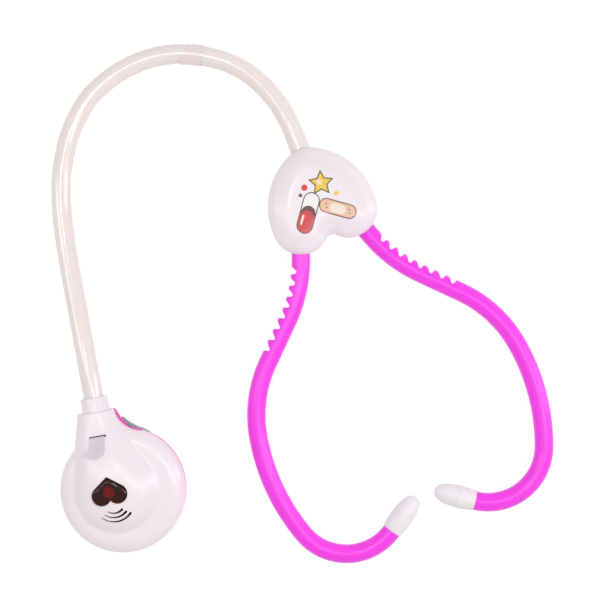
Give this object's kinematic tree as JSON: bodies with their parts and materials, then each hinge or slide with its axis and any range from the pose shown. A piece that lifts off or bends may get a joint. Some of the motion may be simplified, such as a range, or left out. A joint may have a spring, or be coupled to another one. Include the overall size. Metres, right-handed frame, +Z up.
{
  "type": "toy stethoscope",
  "caption": "Toy stethoscope lying flat: heart-shaped hub with swinging ear arms, a hose, and a round chest piece with a lamp, a speaker and a finger button.",
  "frame": {"origin": "middle of the heart hub's flat back, which lies on the table", "axes": "+Z up from the table, +Y from the hub towards its hose, +X towards the right ear arm"},
  "size_m": [0.2378, 0.2689, 0.0265],
  "materials": {
    "shell_white": "glossy, faint pearl",
    "shell_pink": "glossy moulded",
    "arm_magenta": "glossy moulded",
    "tip_white": "soft satin",
    "hose_milky": "milky soft plastic",
    "tape_milky": "thin milky tape",
    "print_film": "printed film",
    "screw_steel": "zinc plated",
    "lens_red": "dark tinted, polished",
    "lamp_red": "diffused resin",
    "holder_white": "moulded",
    "speaker_grey": "pressed",
    "cone_black": "film",
    "magnet_grey": "sintered",
    "board_green": "solder mask",
    "resin_black": "resin",
    "button_grey": "satin moulded",
    "cell_steel": "plated",
    "contact_brass": "sprung",
    "tab_milky": "frosted film"
  },
  "bodies": {
    "housing": {"hub_rear_shell": "shell_white", "hub_front_shell": "shell_white", "chest_upper_shell": "shell_white", "chest_lower_shell": "shell_pink", "battery_cover": "shell_pink", "hose": "hose_milky", "tape_band": "tape_milky", "hub_badge": "print_film", "hub_screws": "screw_steel", "case_screws": "screw_steel", "battery_cover_screw": "screw_steel", "heart_lens": "lens_red", "lamp": "lamp_red", "lamp_holder": "holder_white", "speaker_frame": "speaker_grey", "speaker_cone": "cone_black", "speaker_magnet": "magnet_grey", "circuit_board": "board_green", "chip_blob": "resin_black", "switch_body": "resin_black", "button_cells": "cell_steel", "battery_contact_plus": "contact_brass", "battery_contact_minus": "contact_brass"},
    "right_arm": {"right_ear_arm": "arm_magenta", "right_ear_tip": "tip_white"},
    "left_arm": {"left_ear_arm": "arm_magenta", "left_ear_tip": "tip_white"},
    "side_button": {"side_button": "button_grey", "switch_plunger": "holder_white"},
    "pull_tab": {"pull_tab": "tab_milky"}
  },
  "joints": [
    {"name": "right_arm_pivot", "type": "hinge", "parent": "housing", "child": "right_arm", "pos_m": [0.0123, -0.006, 0.007], "axis": [0, 0, 1], "range_deg": [-1, 17]},
    {"name": "left_arm_pivot", "type": "hinge", "parent": "housing", "child": "left_arm", "pos_m": [-0.0123, -0.006, 0.007], "axis": [0, 0, -1], "range_deg": [-1, 17]},
    {"name": "button_press", "type": "slide", "parent": "housing", "child": "side_button", "axis": [-0.7501, -0.6613, 0], "range_m": [0, 0.0015], "stiffness_N_per_m": 400},
    {"name": "pull_tab_slide", "type": "slide", "parent": "housing", "child": "pull_tab", "axis": [0, 0, 1], "range_m": [0, 0.018]}
  ]
}
